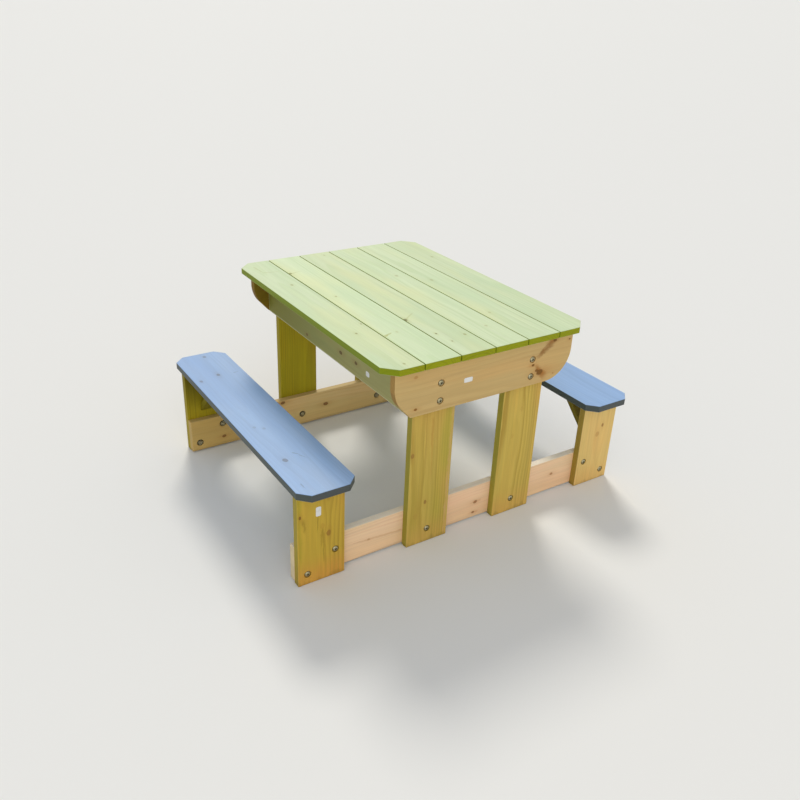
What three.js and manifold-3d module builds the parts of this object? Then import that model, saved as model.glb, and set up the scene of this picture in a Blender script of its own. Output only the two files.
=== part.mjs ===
// A children's picnic table: a planked top on two end frames, with a bench board on each long side.
// Millimetres. X runs from bench to bench, Y along the boards, Z up from the ground.
import * as THREE from 'three';
import { mergeVertices } from 'three/addons/utils/BufferGeometryUtils.js';
import Module from 'manifold-3d';

const wasm = await Module();
wasm.setup();

// Overall sizes
const tableHeight = 515;
const tableLength = 800;
const benchSpread = 990;
const seatHeight = 268;

// Daylight left between two pieces that touch, and the eased arris of every board
const seatGap = 0.3;
const edgeEase = 1.5;

// Tabletop boards and the battens that tie them from below
const topBoardCount = 6;
const topBoardWidth = 95;
const topBoardGap = 2;
const topBoardThickness = 16;
const topCornerCut = 32;
const battenCount = 3;
const battenWidth = 45;
const battenThickness = 20;
const battenSetback = 12;

// Aprons across the ends and rails along the sides
const apronInset = 19;
const apronOverhang = 32;
const apronHeight = 120;
const apronThickness = 20;
const apronCornerRadius = 75;
const railHeight = 120;
const railThickness = 20;

// Legs, the stretchers that join them, and the diagonal braces under the benches
const legWidth = 120;
const legThickness = 20;
const tableLegSpacing = 268;
const benchLegInset = 8;
const stretcherHeight = 95;
const stretcherThickness = 20;
const stretcherLift = 4;
const braceWidth = 40;
const braceThickness = 16;
const braceFootClearance = 21;

// Bench boards, which are as long as the tabletop
const seatWidth = 145;
const seatThickness = 18;
const seatCornerCut = 26;

// Bolts: a domed head with a hexagon socket, a plain shank, a washer and a hexagon nut
const boltDiameter = 8;
const boltHeadDiameter = 14;
const boltHeadHeight = 4.4;
const boltHeadRim = 0.8;
const socketAcrossFlats = 5;
const socketDepth = 2.6;
const boltTail = 3;
const boltTipChamfer = 1;
const washerDiameter = 17;
const washerThickness = 1.6;
const nutAcrossFlats = 13;
const nutHeight = 6.5;

// Holes for the bolts and where they lie
const boreClearance = 1;
const headRecessDiameter = 18;
const headRecessDepth = 3;
const nutRecessDiameter = 20;
const nutRecessDepth = 7;
const boltEdgeDistance = 24;
const boltRowPitch = 45;
const legBoltRise = 34;
const benchBoltSpacing = 72;
const cutOverrun = 1;

// Facet counts
const roundFacets = 14;
const recessFacets = 18;
const arcFacets = 7;
const easeFacets = 2;
const domeFacets = 3;
const hexagonSides = 6;

// Levels and distances that follow from the sizes above
const topWidth = topBoardCount * topBoardWidth + (topBoardCount - 1) * topBoardGap;
const underTop = tableHeight - topBoardThickness - seatGap;
const underSeat = seatHeight - seatThickness - seatGap;
const apronOuterFace = tableLength / 2 - apronInset;
const apronInnerFace = apronOuterFace - apronThickness;
const legOuterFace = apronInnerFace - seatGap;
const legInnerFace = legOuterFace - legThickness;
const stretcherOuterFace = legInnerFace - seatGap;
const stretcherInnerFace = stretcherOuterFace - stretcherThickness;
const tableLegCentre = tableLegSpacing / 2;
const tableLegEdge = tableLegCentre + legWidth / 2;
const benchLegEdge = benchSpread / 2 - benchLegInset;
const benchLegCentre = benchLegEdge - legWidth / 2;
const seatCentre = benchSpread / 2 - seatWidth / 2;
const braceReach = underSeat - stretcherLift - stretcherHeight - braceFootClearance;
const railInnerFace = tableLegEdge + seatGap;

const finish = {
  topBoard: { color: 0xb4cd7c, roughness: 0.62, metalness: 0 },
  apron: { color: 0xd2ad78, roughness: 0.7, metalness: 0 },
  rail: { color: 0xb9a883, roughness: 0.72, metalness: 0 },
  batten: { color: 0xcdb489, roughness: 0.75, metalness: 0 },
  leg: { color: 0xb8a050, roughness: 0.7, metalness: 0 },
  brace: { color: 0xae9748, roughness: 0.72, metalness: 0 },
  stretcher: { color: 0xe0bd98, roughness: 0.7, metalness: 0 },
  seat: { color: 0x7f95b3, roughness: 0.6, metalness: 0 },
  bolt: { color: 0xb9bcc0, roughness: 0.32, metalness: 0.9 },
};

// Closed meshes as solids, and back

function toSolid(geometry) {
  const bare = geometry.clone();
  bare.deleteAttribute('normal');
  bare.deleteAttribute('uv');
  const merged = mergeVertices(bare);
  const triangles = [];
  for (let i = 0; i < merged.index.count; i += 3) {
    const [a, b, c] = [0, 1, 2].map((k) => merged.index.getX(i + k));
    if (a !== b && b !== c && c !== a) triangles.push(a, b, c);
  }
  return new wasm.Manifold(new wasm.Mesh({
    numProp: 3,
    vertProperties: new Float32Array(merged.attributes.position.array),
    triVerts: new Uint32Array(triangles),
  }));
}

function toGeometry(solid) {
  const mesh = solid.getMesh();
  const geometry = new THREE.BufferGeometry();
  geometry.setAttribute('position', new THREE.BufferAttribute(mesh.vertProperties, mesh.numProp));
  geometry.setIndex(new THREE.BufferAttribute(mesh.triVerts, 1));
  geometry.computeVertexNormals();
  return geometry;
}

function cutFrom(geometry, cutters) {
  const solid = cutters.reduce((body, cutter) => body.subtract(toSolid(cutter)), toSolid(geometry));
  return toGeometry(solid);
}

function joined(geometries) {
  const solid = geometries.map(toSolid).reduce((body, part) => body.add(part));
  return toGeometry(solid);
}

// Outlines

function rectangle(width, height) {
  const outline = new THREE.Shape();
  outline.moveTo(-width / 2, 0);
  outline.lineTo(width / 2, 0);
  outline.lineTo(width / 2, height);
  outline.lineTo(-width / 2, height);
  outline.closePath();
  return outline;
}

// A plank seen from above, centred, with its corners cut at 45 degrees on the chosen long sides
function cornerCutPlank(width, length, cut, cutLeft, cutRight) {
  const left = cutLeft ? cut : 0;
  const right = cutRight ? cut : 0;
  const halfWidth = width / 2;
  const halfLength = length / 2;
  const points = [
    [-halfWidth + left, -halfLength], [halfWidth - right, -halfLength],
    [halfWidth, -halfLength + right], [halfWidth, halfLength - right],
    [halfWidth - right, halfLength], [-halfWidth + left, halfLength],
    [-halfWidth, halfLength - left], [-halfWidth, -halfLength + left],
  ].map(([x, y]) => new THREE.Vector2(x, y));
  const distinct = points.filter((point, i) => !point.equals(points[(i + 1) % points.length]));
  return new THREE.Shape(distinct);
}

// The apron board: square to the tabletop above, both lower corners swept to a large radius
function apronOutline(length, height, radius) {
  const outline = new THREE.Shape();
  outline.moveTo(length / 2, height);
  outline.lineTo(-length / 2, height);
  outline.lineTo(-length / 2, radius);
  outline.absarc(-length / 2 + radius, radius, radius, Math.PI, 1.5 * Math.PI);
  outline.lineTo(length / 2 - radius, 0);
  outline.absarc(length / 2 - radius, radius, radius, 1.5 * Math.PI, 2 * Math.PI);
  outline.closePath();
  return outline;
}

// A strut at 45 degrees, mitred flat against an upright face at 0 and a level face at the top
function braceOutline(reach, thickness) {
  const mitre = thickness * Math.SQRT2;
  const outline = new THREE.Shape();
  outline.moveTo(0, 0);
  outline.lineTo(reach, reach);
  outline.lineTo(reach - mitre, reach);
  outline.lineTo(0, mitre);
  outline.closePath();
  return outline;
}

// Boards cut from an outline, with every arris eased

function easedBoard(outline, thickness) {
  const board = new THREE.ExtrudeGeometry(outline, {
    depth: thickness - 2 * edgeEase,
    bevelThickness: edgeEase,
    bevelSize: edgeEase,
    bevelOffset: -edgeEase,
    bevelSegments: easeFacets,
    curveSegments: arcFacets,
  });
  return board.translate(0, 0, edgeEase);
}

// A round cutter that runs through the thickness of a board, from one depth to another
function boreCutter(hole, diameter, from, to, facets) {
  const cutter = new THREE.CylinderGeometry(diameter / 2, diameter / 2, to - from, facets);
  cutter.rotateX(Math.PI / 2);
  return cutter.translate(hole.across, hole.up, (from + to) / 2);
}

// Each hole takes a bolt's shank, and the end of the bolt that this board carries sits in a recess
function drilled(board, thickness, holes) {
  const cutters = holes.flatMap((hole) => {
    const shank = boreCutter(hole, boltDiameter + boreClearance, -cutOverrun, thickness + cutOverrun, roundFacets);
    const recess = hole.end === 'head'
      ? boreCutter(hole, headRecessDiameter, thickness - headRecessDepth, thickness + cutOverrun, recessFacets)
      : boreCutter(hole, nutRecessDiameter, -cutOverrun, nutRecessDepth, recessFacets);
    return [shank, recess];
  });
  return cutFrom(board, cutters);
}

// Turned so that the outline stands upright along X and the board's outer face looks along -Y
function facingOut(board) {
  return board.rotateX(Math.PI / 2);
}

// Turned so that the outline stands upright along Y and the thickness runs along +X
function facingSide(board) {
  return board.rotateX(Math.PI / 2).rotateZ(Math.PI / 2);
}

// The bolt lies along -Y, its head's bearing face at 0, and clamps boards as thick as its grip

function boltHeadAndShank(grip) {
  const shankEnd = -grip - washerThickness - nutHeight - boltTail;
  const domeRise = boltHeadHeight - boltHeadRim;
  const domeReach = boltHeadDiameter / 2;
  const profile = [new THREE.Vector2(0, boltHeadHeight)];
  for (let i = 1; i <= domeFacets; i += 1) {
    const angle = (i / domeFacets) * (Math.PI / 2);
    profile.push(new THREE.Vector2(domeReach * Math.sin(angle), boltHeadRim + domeRise * Math.cos(angle)));
  }
  profile.push(new THREE.Vector2(domeReach, 0));
  profile.push(new THREE.Vector2(boltDiameter / 2, 0));
  profile.push(new THREE.Vector2(boltDiameter / 2, shankEnd + boltTipChamfer));
  profile.push(new THREE.Vector2(boltDiameter / 2 - boltTipChamfer, shankEnd));
  profile.push(new THREE.Vector2(0, shankEnd));
  return new THREE.LatheGeometry(profile.reverse(), roundFacets);
}

function hexagonPrism(acrossFlats, height) {
  const acrossCorners = acrossFlats / Math.cos(Math.PI / hexagonSides);
  return new THREE.CylinderGeometry(acrossCorners / 2, acrossCorners / 2, height, hexagonSides);
}

function boltGeometry(grip) {
  const socketHeight = socketDepth + cutOverrun;
  const socket = hexagonPrism(socketAcrossFlats, socketHeight);
  socket.translate(0, boltHeadHeight - socketDepth + socketHeight / 2, 0);
  const washer = new THREE.CylinderGeometry(washerDiameter / 2, washerDiameter / 2, washerThickness, roundFacets);
  washer.translate(0, -grip - washerThickness / 2, 0);
  const nut = hexagonPrism(nutAcrossFlats, nutHeight);
  nut.translate(0, -grip - washerThickness - nutHeight / 2, 0);
  const body = joined([boltHeadAndShank(grip), washer, nut]);
  return cutFrom(body, [socket]).rotateX(Math.PI);
}

function placed(name, geometry, look, x, y, z) {
  const mesh = new THREE.Mesh(geometry, new THREE.MeshStandardMaterial(look));
  mesh.name = name;
  mesh.position.set(x, y, z);
  return mesh;
}

// Tabletop

function tabletop() {
  const group = new THREE.Group();
  const pitch = topBoardWidth + topBoardGap;
  for (let i = 0; i < topBoardCount; i += 1) {
    const outline = cornerCutPlank(topBoardWidth, tableLength, topCornerCut, i === 0, i === topBoardCount - 1);
    const x = (i - (topBoardCount - 1) / 2) * pitch;
    const board = easedBoard(outline, topBoardThickness);
    group.add(placed(`top_board_${i + 1}`, board, finish.topBoard, x, 0, tableHeight - topBoardThickness));
  }
  const battenLength = 2 * (railInnerFace - seatGap);
  const lastBatten = legInnerFace - battenSetback - battenWidth / 2;
  for (let i = 0; i < battenCount; i += 1) {
    const y = lastBatten * ((2 * i) / (battenCount - 1) - 1);
    const outline = cornerCutPlank(battenLength, battenWidth, 0, false, false);
    const batten = easedBoard(outline, battenThickness);
    group.add(placed(`top_batten_${i + 1}`, batten, finish.batten, 0, y, underTop - battenThickness));
  }
  return group;
}

function sideRail(name, side) {
  const railLength = 2 * (apronInnerFace - seatGap);
  const rail = facingSide(easedBoard(rectangle(railLength, railHeight), railThickness));
  const x = side > 0 ? railInnerFace : -railInnerFace - railThickness;
  return placed(name, rail, finish.rail, x, 0, underTop - railHeight);
}

// Benches, their boards as long as those of the top

function benchBoard(name, side) {
  const outline = cornerCutPlank(seatWidth, tableLength, seatCornerCut, true, true);
  const board = easedBoard(outline, seatThickness);
  return placed(name, board, finish.seat, side * seatCentre, 0, seatHeight - seatThickness);
}

// End frame: an apron, two table legs, two bench legs with their braces, and the stretcher behind
// them, all bolted through. It is drawn for the end that looks along -Y.

const apronBottom = underTop - apronHeight;
const apronBoltLevels = { lower: boltEdgeDistance, upper: boltEdgeDistance + boltRowPitch };
const benchBolts = {
  outer: { offset: benchBoltSpacing / 2, rise: boltEdgeDistance },
  inner: { offset: -benchBoltSpacing / 2, rise: boltEdgeDistance + boltRowPitch },
};
const sides = [-1, 1];

function grip(outerThickness, innerThickness) {
  const outerWood = outerThickness - headRecessDepth;
  const innerWood = innerThickness - nutRecessDepth;
  return outerWood + innerWood + 3 * seatGap;
}

function apron() {
  const length = topWidth - 2 * apronOverhang;
  const board = easedBoard(apronOutline(length, apronHeight, apronCornerRadius), apronThickness);
  const holes = sides.flatMap((side) => Object.values(apronBoltLevels).map((up) => (
    { across: side * tableLegCentre, up, end: 'head' })));
  return facingOut(drilled(board, apronThickness, holes));
}

function tableLeg() {
  const board = easedBoard(rectangle(legWidth, underTop), legThickness);
  const apronHoles = Object.values(apronBoltLevels).map((up) => (
    { across: 0, up: apronBottom + up, end: 'nut' }));
  const stretcherHole = { across: 0, up: stretcherLift + legBoltRise, end: 'head' };
  return facingOut(drilled(board, legThickness, [...apronHoles, stretcherHole]));
}

function benchLeg(side) {
  const board = easedBoard(rectangle(legWidth, underSeat), legThickness);
  const holes = Object.values(benchBolts).map(({ offset, rise }) => (
    { across: side * offset, up: stretcherLift + rise, end: 'head' }));
  return facingOut(drilled(board, legThickness, holes));
}

function stretcher() {
  const board = easedBoard(rectangle(2 * benchLegEdge, stretcherHeight), stretcherThickness);
  const holes = sides.flatMap((side) => [
    { across: side * tableLegCentre, up: legBoltRise, end: 'nut' },
    ...Object.values(benchBolts).map(({ offset, rise }) => (
      { across: side * (benchLegCentre + offset), up: rise, end: 'nut' })),
  ]);
  return facingOut(drilled(board, stretcherThickness, holes));
}

function brace() {
  return facingSide(easedBoard(braceOutline(braceReach, braceThickness), braceWidth));
}

function endFrame(end, sideNames) {
  const group = new THREE.Group();
  const add = (name, geometry, look, x, y, z) => group.add(placed(name, geometry, look, x, -y, z));
  const headSeat = (outerFace) => outerFace - headRecessDepth + seatGap;
  const apronGrip = grip(apronThickness, legThickness);
  const legGrip = grip(legThickness, stretcherThickness);

  add(`apron_${end}`, apron(), finish.apron, 0, apronInnerFace, apronBottom);
  add(`stretcher_${end}`, stretcher(), finish.stretcher, 0, stretcherInnerFace, stretcherLift);

  sides.forEach((side) => {
    const place = `${end}_${sideNames[side]}`;
    const legX = side * tableLegCentre;
    const benchX = side * benchLegCentre;
    const stretcherBolt = boltGeometry(legGrip);

    add(`table_leg_${place}`, tableLeg(), finish.leg, legX, legInnerFace, 0);
    Object.entries(apronBoltLevels).forEach(([level, up]) => {
      add(`apron_bolt_${place}_${level}`, boltGeometry(apronGrip), finish.bolt,
        legX, headSeat(apronOuterFace), apronBottom + up);
    });
    add(`table_leg_bolt_${place}`, stretcherBolt, finish.bolt,
      legX, headSeat(legOuterFace), stretcherLift + legBoltRise);

    add(`bench_leg_${place}`, benchLeg(side), finish.leg, benchX, legInnerFace, 0);
    Object.entries(benchBolts).forEach(([position, { offset, rise }]) => {
      add(`bench_leg_bolt_${place}_${position}`, boltGeometry(legGrip), finish.bolt,
        side * (benchLegCentre + offset), headSeat(legOuterFace), stretcherLift + rise);
    });
    add(`brace_${place}`, brace(), finish.brace,
      benchX - braceWidth / 2, legInnerFace - seatGap, underSeat - braceReach);
  });
  return group;
}

const picnicTable = new THREE.Group();
picnicTable.add(tabletop());
picnicTable.add(sideRail('side_rail_left', -1));
picnicTable.add(sideRail('side_rail_right', 1));
picnicTable.add(benchBoard('bench_board_left', -1));
picnicTable.add(benchBoard('bench_board_right', 1));
picnicTable.add(endFrame('front', { '-1': 'left', 1: 'right' }));
const backFrame = endFrame('back', { '-1': 'right', 1: 'left' });
backFrame.rotation.z = Math.PI;
picnicTable.add(backFrame);

export default picnicTable;
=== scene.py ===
import math
import random
from functools import reduce

import bmesh
import bpy
from mathutils import Matrix, Vector, noise


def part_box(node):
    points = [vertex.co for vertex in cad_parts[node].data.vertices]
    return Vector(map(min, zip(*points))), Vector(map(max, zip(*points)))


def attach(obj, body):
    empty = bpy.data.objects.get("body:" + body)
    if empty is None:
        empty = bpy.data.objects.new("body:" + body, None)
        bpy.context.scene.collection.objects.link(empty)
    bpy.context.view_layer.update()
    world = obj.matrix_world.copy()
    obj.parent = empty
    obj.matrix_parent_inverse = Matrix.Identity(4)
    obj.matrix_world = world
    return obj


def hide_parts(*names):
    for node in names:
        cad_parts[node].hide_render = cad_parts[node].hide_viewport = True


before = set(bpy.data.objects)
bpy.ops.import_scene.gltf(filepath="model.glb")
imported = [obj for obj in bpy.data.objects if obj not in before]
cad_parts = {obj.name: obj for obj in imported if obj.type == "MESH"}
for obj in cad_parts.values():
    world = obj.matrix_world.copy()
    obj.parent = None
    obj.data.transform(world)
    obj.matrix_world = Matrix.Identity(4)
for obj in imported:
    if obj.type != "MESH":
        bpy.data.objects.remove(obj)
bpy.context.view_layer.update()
print("frame loaded:", len(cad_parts), "nodes")

xAxis, yAxis, zAxis = Vector((1, 0, 0)), Vector((0, 1, 0)), Vector((0, 0, 1))
noise.seed_set(17)  # or the boards would stray differently in each run

# A point-and-shoot view from the left bench, slightly rolled
cameraView = {
    "place": (-1.1276, -1.7012, 1.2516),
    "heading": -33.81,
    "pitch": -27.28,
    "roll": 2.44,
    "focalPixels": 821.8,  # focal length in pixels of the picture
    "pictureWidth": 800,
    "sensorWidth": 36,
}


def linked(name, data):
    item = bpy.data.objects.new(name, data)
    bpy.context.scene.collection.objects.link(item)
    return item


def makeCamera():
    heading, pitch, roll = (math.radians(cameraView[key]) for key in ("heading", "pitch", "roll"))
    turn = (
        Matrix.Rotation(heading, 4, "Z")
        @ Matrix.Rotation(math.pi / 2 + pitch, 4, "X")
        @ Matrix.Rotation(roll, 4, "Z")
    )
    data = bpy.data.cameras.new("camera")
    data.sensor_width = cameraView["sensorWidth"]
    data.lens = cameraView["focalPixels"] * cameraView["sensorWidth"] / cameraView["pictureWidth"]
    camera = linked("camera", data)
    camera.matrix_world = Matrix.Translation(cameraView["place"]) @ turn
    bpy.context.scene.camera = camera


# A wire is one output socket of a shader tree, and sums on wires add Math nodes
class Wire:
    def __init__(self, socket):
        self.socket = socket

    # Adds any node: its settings first, then the values or links of its sockets
    def node(self, kind, settings=None, inputs=None, output=0):
        tree = self.socket.id_data
        made = tree.nodes.new("ShaderNode" + kind)
        for key, value in (settings or {}).items():
            setattr(made, key, value)
        for key, value in (inputs or {}).items():
            if isinstance(value, Wire):
                tree.links.new(value.socket, made.inputs[key])
            else:
                made.inputs[key].default_value = value
        return Wire(made.outputs[output])

    def math(self, operation, first, second=0.0):
        return self.node("Math", {"operation": operation}, {0: first, 1: second})

    def __add__(self, other):
        return self.math("ADD", self, other)

    def __radd__(self, other):
        return self.math("ADD", other, self)

    def __sub__(self, other):
        return self.math("SUBTRACT", self, other)

    def __rsub__(self, other):
        return self.math("SUBTRACT", other, self)

    def __mul__(self, other):
        return self.math("MULTIPLY", self, other)

    def __rmul__(self, other):
        return self.math("MULTIPLY", other, self)

    def __truediv__(self, other):
        return self.math("DIVIDE", self, other)

    def __rtruediv__(self, other):
        return self.math("DIVIDE", other, self)

    def __abs__(self):
        return self.math("ABSOLUTE", self)


def smooth(value, low, high):
    inputs = {"Value": value, "From Min": low, "From Max": high}
    return value.node("MapRange", {"interpolation_type": "SMOOTHSTEP"}, inputs)


def lesser(first, second):
    return first.math("MINIMUM", first, second)


def greater(first, second):
    return first.math("MAXIMUM", first, second)


def rootOf(value):
    return value.math("SQRT", value)


def mixColour(factor, first, second):
    return factor.node("Mix", {"data_type": "RGBA"}, {0: factor, 6: first, 7: second}, 2)


def vectorSum(operation, first, second):
    return first.node("VectorMath", {"operation": operation}, {0: first, 1: second})


def vectorDot(vector, direction):
    return vector.node("VectorMath", {"operation": "DOT_PRODUCT"}, {0: vector, 1: direction}, "Value")


def split(vector):
    parts = vector.node("SeparateXYZ", {}, {"Vector": vector}).socket.node
    return [Wire(part) for part in parts.outputs]


# Noise on a vector that is stretched first, so that grain runs along a board
def grainNoise(vector, stretch, detail=2.0, output="Fac"):
    stretched = vectorSum("MULTIPLY", vector, stretch)
    inputs = {"Vector": stretched, "Scale": 1.0, "Detail": detail, "Roughness": 0.55}
    return vector.node("TexNoise", {}, inputs, output)


def lineNoise(value, scale):
    inputs = {"W": value, "Scale": scale, "Detail": 1.0}
    return value.node("TexNoise", {"noise_dimensions": "1D"}, inputs, "Fac")


def bumpOf(height, strength, distance):
    return height.node("Bump", {}, {"Strength": strength, "Distance": distance, "Height": height})


def tint(red, green, blue, gain=1.0):
    def linear(level):
        share = min(level * gain / 255, 1.0)
        return share / 12.92 if share <= 0.04045 else ((share + 0.055) / 1.055) ** 2.4

    return (linear(red), linear(green), linear(blue), 1.0)


def newMaterial(name):
    material = bpy.data.materials.new(name)
    material.use_nodes = True
    nodes = material.node_tree.nodes
    return material, nodes["Principled BSDF"], Wire(nodes.new("ShaderNodeTexCoord").outputs["Object"])


def feed(shader, key, value):
    if isinstance(value, Wire):
        shader.id_data.links.new(value.socket, shader.inputs[key])
    else:
        shader.inputs[key].default_value = value


# Timber. Colours are as the eye sees them, 0 to 255. Lengths are in metres.

timberLook = {
    # Top boards: the stain soaks deeper into the edges. On top of that, the pale face is partly a painted
    # sunlit sheen, and the lime sides and ends are partly painted shade.
    "topBoard": dict(
        early=(212, 227, 187), late=(186, 209, 151), warm=(220, 226, 170), cool=(198, 220, 176),
        end=(152, 156, 0), side=(124, 140, 2), knot=(106, 108, 52), resin=(184, 186, 104),
        stain=(170, 174, 84), arris=(176, 192, 30), sideShare=1.0, endShare=1.0, arrisShare=0.12, streak=0.09,
        ringWidth=0.0062, roughness=0.52, relief=0.35, specular=0.22,
    ),
    # Bench boards: the slate paint is made bluer, partly a painted reflection of blue sky. The dark greenish
    # sides and ends are painted shade, tinged as by light off grass.
    "benchBoard": dict(
        early=(147, 181, 226), late=(118, 151, 199), warm=(159, 184, 219), cool=(134, 171, 222),
        end=(80, 85, 84), side=(62, 71, 62), knot=(84, 92, 110), resin=(118, 134, 164), stain=(104, 112, 128),
        arris=(96, 106, 116), sideShare=0.97, endShare=0.97, knotShare=0.75, arrisShare=0.14, grain=0.42,
        streak=0.09, ringWidth=0.0055, roughness=0.48, relief=0.4, specular=0.35,
    ),
    "apron": dict(
        early=(205, 174, 114), late=(184, 146, 84), warm=(211, 167, 104), cool=(194, 173, 108),
        end=(166, 127, 60), side=(200, 164, 100), knot=(112, 72, 6), resin=(182, 116, 36),
        stain=(134, 84, 20), arris=(216, 190, 134), endShare=0.85, knotShare=0.9, arrisShare=0.3, grain=0.42,
        streak=0.09, ringWidth=0.0068,
    ),
    # Back apron: the base colours are painted shade, as under the table top. Faces turned outwards take the
    # unshaded colour.
    "apronBack": dict(
        early=(130, 105, 14), late=(108, 82, 4), warm=(134, 99, 12), cool=(120, 103, 12), end=(130, 98, 26),
        side=(150, 118, 50), knot=(92, 56, 16), resin=(138, 88, 28), stain=(120, 76, 28),
        arris=(168, 144, 78), sideShare=0.4, arrisShare=0.3, grain=0.46, streak=0.1, ringWidth=0.0068,
        bleached=(186, 155, 96), bleachedShare=0.9,
    ),
    # Front stretcher: the near-white side colour is a painted highlight, sunlight on its top and bottom faces
    "stretcher": dict(
        early=(250, 214, 174), late=(230, 178, 132), warm=(250, 202, 162), cool=(238, 208, 160),
        end=(214, 192, 138), side=(248, 238, 220), foot=(238, 194, 136), knot=(140, 84, 44),
        resin=(208, 146, 92), stain=(206, 150, 100), arris=(244, 222, 190), sideShare=0.85, endShare=0.7,
        footShare=0.4, grain=0.46, streak=0.1, ringWidth=0.0072,
    ),
    # Back stretcher: the darker side colour is painted shade on its top and bottom faces, and its darker left
    # end is painted shade too
    "stretcherBack": dict(
        early=(224, 194, 136), late=(206, 165, 100), warm=(222, 181, 114), cool=(212, 192, 126),
        end=(184, 158, 96), side=(186, 160, 104), foot=(210, 170, 102), knot=(112, 70, 30),
        resin=(178, 124, 60), stain=(176, 124, 62), arris=(226, 200, 150), sideShare=0.5, endShare=0.7,
        footShare=0.4, far=(184, 150, 70), farShare=0.7, farReach=(0.15, 0.42),
    ),
    # Side rails: the greenish base is painted shade, tinged as by light off grass. The darker back end is
    # painted shade, and the wide pale arris is a painted highlight.
    "rail": dict(
        early=(170, 165, 106), late=(146, 136, 76), warm=(174, 160, 98), cool=(160, 166, 106),
        end=(158, 138, 76), side=(168, 156, 94), knot=(92, 66, 30), resin=(150, 120, 62),
        stain=(128, 100, 54), arris=(206, 202, 160), arrisShare=0.75, arrisWidth=0.0052, ringWidth=0.005,
        roughness=0.66, far=(112, 108, 6), farShare=0.85, farReach=(-0.25, 0.38),
    ),
    "batten": dict(
        early=(208, 181, 134), late=(184, 147, 96), warm=(212, 176, 124), cool=(200, 180, 128),
        end=(176, 140, 86), side=(202, 172, 122), knot=(126, 78, 40), resin=(182, 126, 70),
        stain=(168, 120, 72), arris=(218, 192, 146), grain=0.6, ringWidth=0.0046, roughness=0.68,
    ),
    # Front legs, in these three looks: the darker greener side colour is painted shade, tinged as by light
    # off grass
    "tableLeg": dict(
        early=(206, 178, 82), late=(170, 136, 44), warm=(212, 167, 80), cool=(184, 171, 60),
        end=(142, 118, 40), side=(148, 144, 40), foot=(214, 166, 84), knot=(118, 82, 36),
        resin=(186, 136, 60), stain=(172, 126, 50), arris=(212, 188, 104), sideShare=0.75, footShare=0.55,
        grain=0.85, streak=0.15,
    ),
    "benchLeg": dict(
        early=(204, 171, 60), late=(162, 122, 32), warm=(210, 156, 62), cool=(176, 160, 40),
        end=(146, 114, 36), side=(146, 136, 40), foot=(218, 154, 66), knot=(112, 72, 30),
        resin=(176, 118, 44), stain=(132, 104, 14), arris=(210, 184, 88), sideShare=0.75, footShare=0.7,
        grain=0.62, streak=0.12, ringWidth=0.006,
    ),
    "benchLegPale": dict(
        early=(238, 200, 120), late=(212, 163, 80), warm=(238, 186, 106), cool=(222, 198, 116),
        end=(172, 138, 66), side=(144, 121, 14), foot=(238, 184, 104), knot=(140, 94, 46),
        resin=(206, 150, 76), stain=(198, 140, 70), arris=(238, 208, 144), sideShare=0.8, footShare=0.5,
    ),
    # Back legs: the base colours are painted shade on their inward faces. Faces turned outwards take the
    # unshaded colour.
    "backLeg": dict(
        early=(182, 161, 28), late=(132, 112, 4), warm=(186, 153, 40), cool=(162, 152, 24),
        end=(124, 104, 16), side=(146, 132, 26), foot=(166, 138, 34), knot=(100, 74, 22),
        resin=(142, 112, 28), stain=(128, 98, 22), arris=(180, 164, 50), sideShare=0.6, footShare=0.4,
        grain=0.8, streak=0.16, ringWidth=0.0052, specular=0.2, bleached=(190, 166, 78), bleachedShare=0.75,
    ),
    # Braces: the dark olive is painted shade, as under the bench boards
    "brace": dict(
        early=(126, 113, 4), late=(98, 84, 0), warm=(130, 106, 8), cool=(114, 112, 4), end=(104, 88, 6),
        side=(112, 104, 2), knot=(100, 70, 24), resin=(118, 90, 12), stain=(104, 80, 8), arris=(140, 126, 20),
        sideShare=0.5, grain=0.6, streak=0.12, ringWidth=0.0048,
    ),
}

# Back bench legs: also painted shade under the seat, darker towards the top
timberLook["backBenchLeg"] = dict(
    timberLook["backLeg"], far=(78, 70, 0), farShare=0.85, farReach=(-0.06, 0.12),
)

# Where a look above doesn't say otherwise
plainLook = dict(
    endShare=0.8, sideShare=0.3, knotShare=0.85, arrisShare=0.25, arrisWidth=0.0028, footShare=0.0,
    bleachedShare=0.0, farShare=0.0, grain=0.5, streak=0.11, ringWidth=0.0066, roughness=0.62, relief=0.5,
    specular=0.3,
)

# What all timber shares: how far rings stray, how long a fibre is
timberGrain = {
    "ringStray": (0.012, 0.020),  # across the board and through it
    "strayPace": (1.7, 7.0, 7.0),
    "ringRipple": 0.5,  # in rings
    "ripplePace": (11.0, 90.0, 90.0),
    "fibrePace": (9.0, 520.0, 520.0),
    "streakPace": (1.3, 42.0, 42.0),
    "patchPace": (2.2, 9.0, 14.0),
    "wobblePace": (60.0, 85.0, 85.0),
    "pithDepth": (0.030, 0.075),  # below the face
    "pithSide": (0.0, 0.045),  # to the left or right of the middle
    "footHeight": (0.012, 0.085),  # where the warm stain near the ground is full and where it ends
    # the wood turns darker towards the ground over this height
    "darkFootHeight": 0.012,
    "holeShade": 0.85,  # painted shade: how dark the wood is made inside a drilled hole
    "bumpDepth": 0.0005,
    "boardShift": 0.018,  # how much boards of one kind differ in lightness
    "contrast": 2.4,  # of streaks and fibres
    "eyeLength": 2.6,  # of the parted fibres round a knot, in widths
    "eyeWidth": 1.7,  # in radii of the knot
    "parting": 0.8,
    "knotSquash": 0.72,  # width of a knot over its length
    "knotWobble": 1.1,  # in radii
}

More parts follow.
